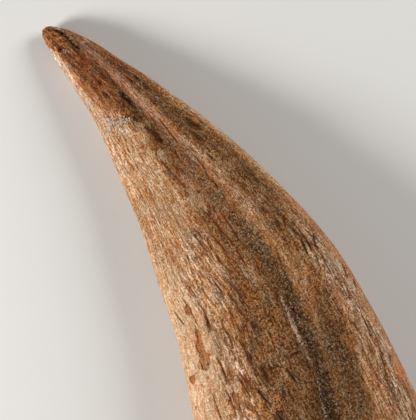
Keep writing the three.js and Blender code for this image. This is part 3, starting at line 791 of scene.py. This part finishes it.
def buildFlow(kind):
    # two places along the fibres, the far one twice as fine round the claw, and how far to mix them,
    # so that the fibres keep their width as the claw narrows
    inputs = {
        "Flow": ("Vector", None),
        "Girth": ("Float", 100),
        "Spacing": ("Float", 1),
        "Stretch": ("Float", 5),
        "Seed": ("Float", 0),
    }
    outputs = {name: ("Vector", None) for name in ("Near", "Far")}
    outputs["Share"] = ("Float", None)
    tree, given, out = newGroup("boneFlow" + kind[:6], kind, inputs, outputs)
    level = calc("LOGARITHM", given["Girth"] / given["Spacing"], 2)
    parts = fed("ShaderNodeSeparateXYZ", {0: given["Flow"]})
    along = parts[0] / (given["Spacing"] * given["Stretch"])
    for step, name in enumerate(("Near", "Far")):
        radius = calc("POWER", 2, calc("FLOOR", level) + float(step)) / (2 * math.pi)
        place = vector(along, parts[1] * radius, parts[2] * radius)
        plug(out[name], shifted(place, given["Seed"], 1))
    plug(out["Share"], fade(calc("FRACT", level), 0.35, 0.65))
    return tree


effectInputs = {
    "Near": ("Vector", None),
    "Far": ("Vector", None),
    "Share": ("Float", 0),
    "Scale": ("Float", 1),
}


def buildStreaks(kind):
    # soft fibres
    tree, given, out = newGroup("boneStreaks" + kind[:6], kind, effectInputs,
                                {"Streak": ("Float", None)})
    near, far = [noise(given[name], given["Scale"], 3, 0.6) for name in ("Near", "Far")]
    plug(out["Streak"], fade(mixValue(given["Share"], near, far), 0.25, 0.75))
    return tree


def buildFibres(kind):
    # bundles of fibres, each with its own tone and a crown that falls to its border
    outputs = {name: ("Float", None) for name in ("Tone", "Crown")}
    tree, given, out = newGroup("boneFibres" + kind[:6], kind, effectInputs, outputs)
    bend = 0.6 / given["Scale"]
    tones, crowns = [], []
    for name in ("Near", "Far"):
        bent = scaled(noise(given[name], given["Scale"] * 1.3, output="Color"), bend)
        cell = cells(moved(given[name], bent), given["Scale"])
        tones.append(part(cell["Color"], 0))
        crowns.append(fade(cell["Distance"], 0.1, 0.75, 1, 0))
    plug(out["Tone"], mixValue(given["Share"], *tones))
    plug(out["Crown"], mixValue(given["Share"], *crowns))
    return tree


def buildPores(kind):
    # long pores of uneven length, each in its own cell
    inputs = dict(effectInputs, Size=("Float", 0.4))
    tree, given, out = newGroup("bonePores" + kind[:6], kind, inputs, {"Pore": ("Float", None)})
    masks = []
    for name in ("Near", "Far"):
        cell = cells(given[name], given["Scale"])
        size = fade(part(cell["Color"], 0), 0, 1, 0.2, 1) * given["Size"]
        masks.append(fade(cell["Distance"], size * 0.6, size, 1, 0))
    plug(out["Pore"], mixValue(given["Share"], *masks))
    return tree


def inBothTrees(build):
    return {kind: build(kind) for kind in ("ShaderNodeTree", "GeometryNodeTree")}


flowGroup, streakGroup = inBothTrees(buildFlow), inBothTrees(buildStreaks)
fibreGroup, poreGroup = inBothTrees(buildFibres), inBothTrees(buildPores)


def flowAlong(flow, girth, spacing, stretch, seed):
    inputs = {"Flow": flow, "Girth": girth, "Spacing": spacing, "Stretch": stretch, "Seed": seed}
    return placeGroup(flowGroup[flow.tree.bl_idname], inputs)


def effect(groups, places, spacing, **others):
    inputs = {name: places[name] for name in ("Near", "Far", "Share")}
    return placeGroup(groups[places.tree.bl_idname], {**inputs, "Scale": 1.0 / spacing, **others})


def streaks(places, spacing=1.0):
    return effect(streakGroup, places, spacing)


def fibres(places, spacing=1.0):
    bundle = effect(fibreGroup, places, spacing)
    return bundle["Tone"], bundle["Crown"]


def pores(places, size, spacing=1.0):
    return effect(poreGroup, places, spacing, Size=size)


def setInputs(modifier, values):
    for item in modifier.node_group.interface.items_tree:
        if item.item_type == "SOCKET" and item.in_out == "INPUT" and item.name in values:
            modifier[item.identifier] = values[item.name]


def settle(piece):
    # the tree's result becomes the piece's own plain mesh
    graph = bpy.context.evaluated_depsgraph_get()
    treated = piece.evaluated_get(graph)
    plain = bpy.data.meshes.new_from_object(treated, preserve_all_data_layers=True, depsgraph=graph)
    while None in plain.materials[:]:  # the empty slot that a primitive brings
        plain.materials.pop(index=plain.materials[:].index(None))
    piece.modifiers.clear()
    piece.data = plain
    return piece


def addPiece(name, mesh):
    piece = bpy.data.objects.new(name, mesh)
    bpy.context.scene.collection.objects.link(piece)
    return piece


def named(tree, name, kind="FLOAT"):
    return addNode(tree, "GeometryNodeInputNamedAttribute", {"Name": name}, "Attribute", data_type=kind)


longPoreSize = 0.42  # as a share of the room between two pores
# heights and depths in mm
boneRelief = {
    "Fibre Height": 0.16,
    "Fibre Spacing": 1.7,
    "Fibre Stretch": 4.0,
    "Swell Height": 0.16,
    "Swell Spacing": 6.0,
    "Swell Stretch": 2.5,
    "Pore Depth": 0.34,
    "Pore Spacing": 1.5,
    "Pore Stretch": 3.2,
    "Sand Height": 0.3,
    "Flake Depth": 0.4,
    "Crack Depth": 0.3,
    "Chip Depth": 0.3,
    "Dent Depth": 0.3,
    "Joint Pit Depth": 0.35,
    "Tip Crumbs": 1.8,
    "Seed": 4.0,
}


def stamped(geometry, name, value, domain):
    inputs = {"Geometry": geometry, "Name": name, "Value": value}
    return fed("GeometryNodeStoreNamedAttribute", inputs, data_type="FLOAT", domain=domain)


def endTree(geometry, material, out):
    real = fed("GeometryNodeRealizeInstances", {0: geometry})
    plug(out["Geometry"], fed("GeometryNodeSetMaterial", {"Geometry": real, "Material": material}))


def reliefTree(material):
    # fibres, pores, caked sand, flake scars and cracks raised or cut along the claw's normal
    inputs = {"Geometry": ("Geometry", None)}
    inputs.update({name: ("Float", value) for name, value in boneRelief.items()})
    tree, given, out = newGroup("weatheredBone", "GeometryNodeTree", inputs,
                                {"Geometry": ("Geometry", None)})
    flow, girth = named(tree, "flow", "FLOAT_VECTOR"), named(tree, "girth")
    sand, bare, brown, joint = [named(tree, name) for name in ("sand", "bare", "brown", "joint")]
    seed = given["Seed"]
    boneShare = 1.0 - fade(sand, 0.3, 0.8, 0, 0.7)
    skin = boneShare * fade(bare, 0.1, 0.7, 1, 0.15) * between(joint, 1, 0.1)

    tone, crown = fibres(flowAlong(flow, girth, given["Fibre Spacing"], given["Fibre Stretch"], seed))
    fibre = (tone * 0.6 + crown * 0.4 - 0.5) * given["Fibre Height"] * skin
    swell = streaks(flowAlong(flow, girth, given["Swell Spacing"], given["Swell Stretch"], seed + 3))
    swell = (swell - 0.5) * given["Swell Height"] * between(joint, 1, 0.1)
    pore = pores(flowAlong(flow, girth, given["Pore Spacing"], given["Pore Stretch"], seed), longPoreSize)
    pore = pore * given["Pore Depth"] * skin * fade(brown, 0.1, 0.8, 0.3, 0.6)

    place = addNode(tree, "GeometryNodeInputPosition")
    caked = noise(shifted(place, seed, 1 / mm), 0.9, 3, 0.7)
    caked = (caked - 0.45) * given["Sand Height"] * fade(sand, 0.2, 0.7)
    flake = fade(named(tree, "flake"), -0.15, 0.3) * given["Flake Depth"]
    gap = fade(calc("ABSOLUTE", named(tree, "crack")), 0.08, 0.5, 1, 0)
    crack = gap * named(tree, "crackDepth") * given["Crack Depth"]
    chipAndGlint = fade(named(tree, "chipAndGlint"), 0.2, 0.7) * given["Chip Depth"]
    dent = fade(named(tree, "dark"), 0.2, 0.9) * given["Dent Depth"]

    pitted = fade(noise(shifted(place, 6, 1 / mm), 0.35, 3, 0.6), 0.52, 0.68)
    raised = fibre + swell + caked - pitted * joint * given["Joint Pit Depth"]
    lowered = pore + flake + crack + chipAndGlint + dent
    tipEase = fade(girth, 12, 34, 0.35, 1)
    along = fed("ShaderNodeSeparateXYZ", {0: flow})
    crumbly = noise(shifted(place, 11, 1 / mm), 0.8, 2, 0.6) - 0.5
    crumbly = crumbly * given["Tip Crumbs"] * fade(along, 3, 22, 1, 0)
    height = (raised - lowered) * tipEase + crumbly

    stored = stamped(given["Geometry"], "relief", height, "POINT")
    step = scaled(addNode(tree, "GeometryNodeInputNormal"), height * mm)
    raisedSkin = fed("GeometryNodeSetPosition", {"Geometry": stored, "Offset": step})
    # nothing sinks below the worn flats that the claw lies on
    where = fed("ShaderNodeSeparateXYZ", {0: addNode(tree, "GeometryNodeInputPosition")})
    above = vector(where[0], where[1], calc("MAXIMUM", where[2], 0))
    endTree(fed("GeometryNodeSetPosition", {"Geometry": raisedSkin, "Position": above}), material, out)
    return tree


def newMaterial(name):
    material = bpy.data.materials.new(name)
    material.use_nodes = True
    tree = material.node_tree
    tree.nodes.clear()
    shader = tree.nodes.new("ShaderNodeBsdfPrincipled")
    output = tree.nodes.new("ShaderNodeOutputMaterial")
    tree.links.new(shader.outputs[0], output.inputs["Surface"])
    return material, tree, shader


# how much faster green and blue darken than red
shadePowers = (1, 1.45, 2.1)


def buildShade():
    # darker turns the colour warmer and deeper, lighter turns it chalky
    inputs = {"Color": ("Color", None), "Share": ("Float", 1)}
    tree, given, out = newGroup("warmShade", "ShaderNodeTree", inputs, {"Color": ("Color", None)})
    parts = {place: calc("POWER", given["Share"], power) for place, power in enumerate(shadePowers)}
    shade = fed("ShaderNodeCombineColor", parts)
    plug(out["Color"], mixColor(1, given["Color"], shade, "MULTIPLY"))
    return tree


shadeGroup = buildShade()


def tinted(color, share):
    return placeGroup(shadeGroup, {"Color": color, "Share": share})["Color"]


def read(tree, name, output="Fac"):
    settings = {"attribute_name": name, "attribute_type": "GEOMETRY"}
    return addNode(tree, "ShaderNodeAttribute", None, output, **settings)


def buildSpeckle():
    # grains of sand: a tone for each and the height of its rounded top
    inputs = {"Place": ("Vector", None), "Grain Size": ("Float", 0.5)}
    outputs = {name: ("Float", None) for name in ("Tone", "Grey", "Height")}
    tree, given, out = newGroup("sandSpeckle", "ShaderNodeTree", inputs, outputs)
    grain = cells(given["Place"], 1 / mm / given["Grain Size"])
    plug(out["Tone"], part(grain["Color"], 0))
    plug(out["Grey"], part(grain["Color"], 1))
    plug(out["Height"], fade(grain["Distance"], 0, 0.8, 1, 0))
    return tree


speckleGroup = buildSpeckle()

boneColors = {
    "cream": tint(226, 189, 150),
    "tan": tint(210, 161, 114),
    # the fine streaks' valleys, painted in shade
    "valley": tint(182, 122, 76),
    "greyBone": tint(194, 161, 128),
    "tipBone": tint(188, 122, 70),
    "ochre": tint(160, 106, 48),
    "rustyCrust": tint(148, 92, 44),
    "brownCrust": tint(116, 76, 34),
    "tipCrust": tint(149, 90, 46),
    "sandDark": tint(38, 24, 12),
    "sandMid": tint(113, 81, 48),
    "sandPale": tint(172, 142, 108),
    "greyGrain": tint(164, 126, 82),
    # pale bone, also the painted highlight along the edges
    "pale": tint(226, 194, 162),
    "rust": tint(184, 122, 73),
    # pinkish grey of the painted sheen
    "mauve": tint(154, 114, 91),
    "skin": tint(200, 160, 118),
    "paleSkin": tint(208, 169, 129),
    # whitish bone of the chips, also the painted glints
    "chipAndGlint": tint(232, 218, 210),
    # pale of the painted highlight on the groove's lip
    "lip": tint(216, 187, 158),
    # dark brown of the gaps, also the painted shadow round the flake scars
    "gapBrown": tint(92, 50, 23),
    "rustCrack": tint(128, 66, 30),
    "pit": tint(58, 28, 9),
    "patina": tint(164, 124, 84),
    "patinaDark": tint(118, 82, 48),
}

boneLook = {
    # how strongly each layer covers what lies under it
    "pale": 0.8,
    "skinEdge": 0.45,
    "mauve": 0.6,
    "crust": 0.92,
    "sand": 0.88,
    "gap": 0.74,
    "pore": 0.8,
    "rust": 0.8,
    "chipAndGlint": 0.85,
    "dark": 0.6,
    "lip": 0.85,
    "scar": 0.92,
    # the painted shadow round the flake scars
    "scarEdge": 0.8,
    "crack": 0.8,
    "patina": 0.94,
    # grains, and the room between fibres, in mm
    "crumbSize": 0.44,
    "sandSize": 0.47,
    "fine": 0.5,
    "medium": 1.2,
    "broad": 3.4,
    "thread": 0.7,
    "longThread": 0.9,
    # spots per metre
    "cloudy": 90,
    "mottled": 520,
    "gritty": 1900,
    "drift": 290,
    # mm from the tip where one look passes into the next
    "tipEnds": (26, 46),
    "baseStarts": (75, 105),
    # the whole surface
    "hue": 0.4982,
    "saturation": 0.99,
    "roughness": 0.48,
    "specular": 0.15,
}


def fossilBone():
    material, tree, shader = newMaterial("fossilBone")
    paint, look = boneColors, boneLook
    flow, girth = read(tree, "flow", "Vector"), read(tree, "girth")
    sand, bare, brown, loose, across, joint = [
        read(tree, name) for name in ("sand", "bare", "brown", "loose", "across", "joint")]
    along = part(flow, 0)
    place = addNode(tree, "ShaderNodeTexCoord", None, "Object")
    atTip = fade(along, *look["tipEnds"], 1, 0)
    outerGrain = fade(across, 0.35, 0.75, 1, 1.4)

    def reliefPlaces(kind):
        # the same places as the relief has
        spacing, stretch = boneRelief[kind + " Spacing"], boneRelief[kind + " Stretch"]
        return flowAlong(flow, girth, spacing, stretch, boneRelief["Seed"])

    shortPlaces = flowAlong(flow, girth, spacing=1, stretch=5, seed=1)
    longPlaces = flowAlong(flow, girth, spacing=1, stretch=8, seed=11)
    fine = streaks(shortPlaces, look["fine"])
    medium = streaks(shortPlaces, look["medium"])
    broad = streaks(shortPlaces, look["broad"])
    threadTone, threadCrown = fibres(shortPlaces, look["thread"])
    layerTone = fibres(reliefPlaces("Fibre"))[0]
    cloudy = noise(place, look["cloudy"], 3, 0.6)
    gritty = fade(noise(place, look["gritty"], 2, 0.6), 0.3, 0.7)
    mottled = noise(place, look["mottled"], 3, 0.7)

    def ragged(field, start, end, streakShare=0.5, gritShare=0.5):
        # a zone whose border breaks up along the fibres
        uneven = field + off(medium, streakShare) + off(fine, streakShare * 0.6) + off(gritty, gritShare)
        return fade(uneven, start, end) * fade(field, 0.04, 0.2)

    # worn bone
    cloud = cloudy + off(threadTone, 0.6) + off(layerTone, 0.3)
    color = mixColor(fade(cloud, 0.2, 0.7), paint["tan"], paint["cream"])
    # painted shade: darker in the valleys of the fine streaks, which the bump lowers
    color = mixColor(fade(fine + off(gritty, 0.5), 0.1, 0.45, 0.55, 0), color, paint["valley"])
    color = mixColor(fade(layerTone + off(mottled, 0.8), 0.65, 0.85, 0, 0.75), color, paint["greyBone"])
    color = tinted(color, fade(along, *look["baseStarts"], 0.93, 1))
    atRim = fade(across, 0.82, 0.95) * fade(along, 95, 108, 0.55, 0.6)
    color = mixColor(calc("MAXIMUM", atTip * 0.85, atRim), color, paint["tipBone"])
    # pale bone and painted highlight along the inner strip and the outer rim
    color = mixColor(ragged(read(tree, "pale"), 0.42, 0.64) * look["pale"], color, paint["pale"])
    smoothSkin = bare + off(mottled, 1.2) + off(medium, 0.25) + off(gritty, 0.2)
    skinShare = fade(smoothSkin, 0.4, 0.56)
    skinEdge = fade(smoothSkin, 0.28, 0.38) * fade(smoothSkin, 0.4, 0.52, 1, 0) * fade(bare, 0.1, 0.3)

    longThread = streaks(longPlaces, look["longThread"])
    thread = fade(longThread, 0.62, 0.74) * fade(broad, 0.35, 0.6, 0, 0.7)
    color = mixColor(thread, color, tinted(paint["rust"], between(gritty, 0.8, 1.15)))

    # crust that fills the hollows between the fibres
    crust = mixColor(fade(mottled, 0.35, 0.65), paint["ochre"], paint["rustyCrust"])
    crust = mixColor(fade(brown + off(broad, 0.4) + off(cloudy, 0.8), 0.6, 1.3), crust, paint["brownCrust"])
    crust = mixColor(atTip, crust, paint["tipCrust"])
    crumb = placeGroup(speckleGroup, {"Place": place, "Grain Size": look["crumbSize"]})
    crust = mixColor(fade(crumb["Grey"], 0.55, 0.9, 0, 0.35), crust, paint["greyGrain"])
    crumbShare = off(crumb["Tone"], 0.9) * between(atTip, 1, 0.35)
    tipStreak = (off(longThread, 1) + off(medium, 0.6) + off(gritty, -0.3)) * atTip
    crustTone = gritty + off(fine, 0.5) + off(threadTone, 0.3) + crumbShare + tipStreak
    crustTone = (crustTone - 0.52) * between(atTip, 1, 0.74) * outerGrain + 0.52
    crust = tinted(crust, fade(crustTone, -0.1, 1.1, 0.27, 1.66))
    cover = 0.1 + brown * 0.67 + off(threadTone, 0.4) + off(layerTone, 0.24) + off(medium, 0.22)
    cover = cover + off(gritty, 0.2) + off(crumb["Tone"], 0.24) + off(fine, 0.25) + bare * -0.3
    cover = fade(cover, 0.4, 0.49) * between(skinShare, 1, 0.32)
    darkThread, paleThread = between(atTip, 0.96, 0.8), between(atTip, 1.04, 1.22)
    color = tinted(color, fade(longThread, 0.35, 0.65, darkThread, paleThread))
    grainy = (off(gritty, 1) + off(fine, 0.5) + off(crumb["Tone"], 0.5)) * outerGrain + 0.5
    darkGrain = fade(brown, 0.05, 0.4, fade(along, *look["baseStarts"], 0.7, 0.57), 0.51)
    color = tinted(color, fade(grainy, 0.05, 0.85, darkGrain, fade(brown, 0.05, 0.4, 1.16, 1.2)))
    # painted shade: darker where the fibre bundles' crowns fall away to their borders
    color = tinted(color, fade(threadCrown, 0, 0.4, 0.8 * between(loose, 1, 0.88), 1.03))
    skinColor = mixColor(fade(brown, 0.05, 0.5), paint["paleSkin"], paint["skin"])
    skinColor = tinted(skinColor, fade(fine + off(gritty, 0.9), 0, 1, 0.76, 1.15))
    color = mixColor(skinShare * fade(brown, 0.1, 0.9, 0.66, 0.5), color, skinColor)
    color = mixColor(cover * look["crust"], color, crust)
    color = mixColor(skinEdge * fade(broad, 0.35, 0.6) * look["skinEdge"], color, paint["pit"])
    # painted sheen, pinkish grey, on the tip's groove and ridge, and a pinkish-grey slab near the outer edge
    mauveSheen = tinted(paint["mauve"], fade(gritty + off(fine, 0.6), 0, 1, 0.6, 1.25))
    color = mixColor(ragged(read(tree, "mauve"), 0.2, 1) * look["mauve"], color, mauveSheen)

    # dark sand in the grooves
    speckle = placeGroup(speckleGroup, {"Place": place, "Grain Size": look["sandSize"]})
    sandTone = speckle["Tone"] + off(gritty, 0.5)
    sandColor = mixColor(fade(sandTone, 0.2, 0.7), paint["sandDark"], paint["sandMid"])
    sandColor = mixColor(fade(sandTone, 0.68, 0.95), sandColor, paint["sandPale"])
    sandShare = ragged(sand, 0.35, 0.9, 0.5, 1.2)
    color = mixColor(sandShare * look["sand"], color, sandColor)

    # short gaps that open between the fibres
    def gapLines(spacing):
        return fade(calc("ABSOLUTE", streaks(longPlaces, spacing) - 0.5), 0.012, 0.058, 1, 0)

    closeGaps, wideGaps = gapLines(1.7) * fade(broad, 0.5, 0.7, 1, 0), gapLines(2.6) * fade(broad, 0.35, 0.6)
    gap = calc("MAXIMUM", closeGaps, wideGaps) * fade(bare, 0.2, 0.7, 1, 0.3) * fade(sand, 0.2, 0.6, 1, 0)
    gap = gap * fade(loose, 0, 0.7, 0.25, 1)
    color = mixColor(gap * look["gap"], color, paint["gapBrown"])

    # pores painted dark: dark fill and painted shade in them
    short = pores(shortPlaces, 0.36, 0.9)
    long = pores(reliefPlaces("Pore"), longPoreSize)
    porous = fade(bare, 0.2, 0.7, 1, 0.5) * fade(sand, 0.2, 0.7, 1, 0.2)
    poreShare = calc("MAXIMUM", short * fade(mottled, 0.35, 0.6, 0.4, 1),
                     long * fade(brown, 0.1, 0.8, 0.35, 0.5)) * porous
    poreColor = mixColor(fade(brown, 0, 0.7), paint["rustyCrust"], paint["pit"])
    color = mixColor(poreShare * look["pore"], color, poreColor)

    rusty = tinted(paint["rust"], between(gritty, 0.72, 1.2))
    spots = {
        # layer: paint, start and end of the fade, share of the streaks and of the grit in its border
        "rust": (rusty, 0.4, 0.55, 0.5, 0.5),
        # whitish chips and painted glints
        "chipAndGlint": (paint["chipAndGlint"], 0.4, 0.8, 0.5, 1.3),
        # dark fill and painted shadow in the dents
        "dark": (paint["pit"], 0.42, 0.6, 0.7, 1),
        # painted highlight along the groove's raised lip
        "lip": (paint["lip"], 0.5, 0.8, 0.6, 1.4),
    }
    for name, (spotColor, *border) in spots.items():
        color = mixColor(ragged(read(tree, name), *border) * look[name], color, spotColor)

    flake = read(tree, "flake") + off(gritty, 0.25) + off(mottled, 0.9)
    scar = fade(flake, -0.05, 0.05)
    # a painted shadow: a dark line round the rim of each flake scar
    scarEdge = fade(flake, -0.2, -0.05) * fade(flake, 0, 0.14, 1, 0)
    color = mixColor(scar * look["scar"], color, tinted(rusty, 1.1))
    color = mixColor(scarEdge * look["scarEdge"], color, paint["gapBrown"])
    # cracks painted dark: dark fill and painted shade in them
    crackWidth, crackDepth = read(tree, "crackWidth"), read(tree, "crackDepth")
    crack = calc("ABSOLUTE", read(tree, "crack") + off(gritty, 0.2))
    crack = fade(crack, crackWidth * 0.5, crackWidth * 1.7, 1, 0) * fade(crackDepth, 0.05, 0.5)
    crackColor = mixColor(fade(crackDepth + off(gritty, 0.4), 0.8, 1.3), paint["rustCrack"], paint["pit"])
    color = mixColor(crack * look["crack"], color, crackColor)

    # grain by grain the colour drifts between grey, yellow and rust
    drift = fade(noise(place, look["drift"], 2, 0.6), 0.3, 0.7)
    warmth = look["saturation"] + off(crumb["Grey"], 0.22) + off(drift, 0.16) + off(longThread, 0.08)
    hue = look["hue"] + off(drift, -0.011) + off(longThread, -0.008)
    color = fed("ShaderNodeHueSaturation", {"Hue": hue, "Saturation": warmth, "Color": color})

    # the joint's face is dense and smooth, without fibres
    patina = mixColor(fade(cloudy + off(mottled, 0.9), 0.35, 0.6), paint["patinaDark"], paint["patina"])
    patina = tinted(patina, fade(gritty + off(crumb["Tone"], 0.5), 0, 1, 0.84, 1.15))
    color = mixColor(joint * look["patina"], color, patina)
    # painted shade and light: darker in the relief's hollows, lighter on its crests
    color = tinted(color, fade(read(tree, "relief"), -0.2, 0.1, 0.72, 1.06))
    plug(shader.inputs["Base Color"], color)

    plug(shader.inputs["Roughness"], look["roughness"] + sandShare * 0.35 + cover * 0.2)
    plug(shader.inputs["Specular IOR Level"], look["specular"])

    # the bump stays small, because the render works it out three times over
    crusty = fade(brown, 0.1, 0.8)
    height = fine * 0.16 + threadCrown * 0.2 - gap * 0.35 - short * porous * 0.3 - crack * 0.25
    grain = gritty * between(crusty, 0.1, 0.36) + crumb["Height"] * between(crusty, 0.03, 0.22)
    height = height * between(joint, 1, 0.1) + grain * between(joint, 1, 0.35)
    plug(shader.inputs["Normal"], fed("ShaderNodeBump", {"Strength": 1, "Distance": mm, "Height": height}))
    return material


bone = fossilBone()
claw = addPiece("fossilClaw", clawMesh())
print("claw form", len(claw.data.polygons), "faces")
weathering = claw.modifiers.new("weathering", "NODES")
weathering.node_group = reliefTree(bone)
setInputs(weathering, boneRelief)
settle(claw)
print("claw weathered", len(claw.data.vertices), "points, materials", [m.name for m in claw.data.materials])
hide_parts("claw")
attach(claw, "root")


# loose grains of sand that lie caked in the grooves, sizes in mm
sandLook = {
    "Grains per mm2": 3.0,
    "Smallest": 0.17,
    "Largest": 0.34,
    "Flatness": 0.7,
    "Seed": 21,
}


def grainTree(material):
    inputs = {"Geometry": ("Geometry", None)}
    inputs.update({name: ("Float", value) for name, value in sandLook.items() if name != "Seed"})
    inputs["Seed"] = ("Int", sandLook["Seed"])
    tree, given, out = newGroup("sandGrains", "GeometryNodeTree", inputs, {"Geometry": ("Geometry", None)})
    place = addNode(tree, "GeometryNodeInputPosition")
    patchy = noise(shifted(place, 3, 1 / mm), 0.35, 3, 0.6)
    share = fade(named(tree, "sand") + patchy * 0.9, 0.95, 1.5) * fade(named(tree, "joint"), 0, 0.5, 1, 0)
    density = share * given["Grains per mm2"] * (1 / mm ** 2)  # grains to the square metre
    spread = fed("GeometryNodeDistributePointsOnFaces",
                 {"Mesh": given["Geometry"], "Density": density, "Seed": given["Seed"]}, "Points")
    grain = addNode(tree, "GeometryNodeMeshIcoSphere", {"Radius": mm, "Subdivisions": 1})
    fullTurn = {"Max": (6.28, 6.28, 6.28), "Seed": 5}
    turn = addNode(tree, "FunctionNodeRandomValue", fullTurn, data_type="FLOAT_VECTOR")
    limits = {2: given["Smallest"], 3: given["Largest"], "Seed": 6}  # 2 and 3 take plain numbers
    size = fed("FunctionNodeRandomValue", limits, 1, data_type="FLOAT")
    shape = vector(size, size * given["Flatness"], size)
    laid = fed("GeometryNodeInstanceOnPoints",
               {"Points": spread, "Instance": grain, "Rotation": turn, "Scale": shape})
    tone = addNode(tree, "FunctionNodeRandomValue", {"Seed": 7}, 1, data_type="FLOAT")
    endTree(stamped(laid, "tone", tone, "INSTANCE"), material, out)
    return tree


grainLook = {
    "speckleSize": 0.3,
    "speckleShare": 0.15,
    "roughness": 0.8,
    "specular": 0.1,
    "bumpHeight": 0.1,
    "bumpStrength": 0.5,
}


def looseSand():
    # the paints of the caked sand, a tone for each grain
    material, tree, shader = newMaterial("looseSand")
    place = addNode(tree, "ShaderNodeTexCoord", None, "Object")
    speckle = placeGroup(speckleGroup, {"Place": place, "Grain Size": grainLook["speckleSize"]})
    tone = read(tree, "tone") + speckle["Tone"] * grainLook["speckleShare"]
    color = mixColor(fade(tone, 0.3, 0.75), boneColors["sandDark"], boneColors["sandMid"])
    color = mixColor(fade(tone, 0.85, 1.05), color, boneColors["sandPale"])
    plug(shader.inputs["Base Color"], color)
    plug(shader.inputs["Roughness"], grainLook["roughness"])
    plug(shader.inputs["Specular IOR Level"], grainLook["specular"])
    height = speckle["Height"] * grainLook["bumpHeight"]
    rounded = {"Strength": grainLook["bumpStrength"], "Distance": mm, "Height": height}
    plug(shader.inputs["Normal"], fed("ShaderNodeBump", rounded))
    return material


grains = addPiece("sandGrains", claw.data.copy())
caking = grains.modifiers.new("caking", "NODES")
caking.node_group = grainTree(looseSand())
setInputs(caking, sandLook)
settle(grains)
print("sand caked", len(grains.data.polygons), "faces", [m.name for m in grains.data.materials])
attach(grains, "root")


stageLook = {
    "floorSize": 1.6,
    "floor": tint(226, 224, 220),
    "floorRoughness": 0.9,
    "lens": 100,
    "cameraPlace": (-122.6, 16.1, 373),
    "imageUp": (-0.866, 0.5, 0),
    "imageRight": (0.5, 0.866, 0),
    # towards the light as image right, image up and towards the camera; distance, size, power
    "key": ((-0.8, -0.3, 0.5), 0.7, 0.2, 5.6),
    "fill": ((0.75, 0.45, 0.45), 0.8, 0.4, 4.6),
    "world": (0.95, 0.93, 0.9),
    "worldPower": 0.12,
}


def upright(right, up, toward):
    axes = (stageLook["imageRight"], stageLook["imageUp"], (0, 0, 1))
    return sum((Vector(axis) * share for axis, share in zip(axes, (right, up, toward))), Vector())


def aim(thing, place, target, upAxis):
    back = (place - target).normalized()
    right = upAxis.cross(back).normalized()
    turned = Matrix((right, back.cross(right), back)).transposed().to_4x4()
    thing.matrix_world = Matrix.Translation(place) @ turned


def addLight(name, toward, distance, size, power):
    data = bpy.data.lights.new(name, "AREA")
    data.size, data.energy = size, power
    lamp = bpy.data.objects.new(name, data)
    bpy.context.scene.collection.objects.link(lamp)
    turned = layDown().to_3x3()
    middle = layDown() @ Vector((stageLook["cameraPlace"][0], stageLook["cameraPlace"][1], 0)) * mm
    aim(lamp, middle + turned @ upright(*toward).normalized() * distance, middle, Vector((0, 0, 1)))
    return lamp


def addStage():
    bpy.ops.mesh.primitive_plane_add(size=stageLook["floorSize"], location=(0, 0, 0))
    floor = bpy.context.object
    floor.name = "floor"
    material, _, shader = newMaterial("paleFloor")
    plug(shader.inputs["Base Color"], stageLook["floor"])
    plug(shader.inputs["Roughness"], stageLook["floorRoughness"])
    floor.data.materials.append(material)
    addLight("key", *stageLook["key"])
    addLight("fill", *stageLook["fill"])
    world = bpy.data.worlds.new("studio")
    world.use_nodes = True
    background = world.node_tree.nodes["Background"]
    background.inputs[0].default_value = (*stageLook["world"], 1)
    background.inputs[1].default_value = stageLook["worldPower"]
    bpy.context.scene.world = world
    data = bpy.data.cameras.new("camera")
    data.lens = stageLook["lens"]
    camera = bpy.data.objects.new("camera", data)
    bpy.context.scene.collection.objects.link(camera)
    place = layDown() @ Vector(stageLook["cameraPlace"]) * mm
    turned = layDown().to_3x3()
    aim(camera, place, place - turned @ Vector((0, 0, 1)), turned @ Vector(stageLook["imageUp"]))
    bpy.context.scene.camera = camera
    bpy.context.scene.view_settings.view_transform = "Standard"


addStage()
print("stage ready")
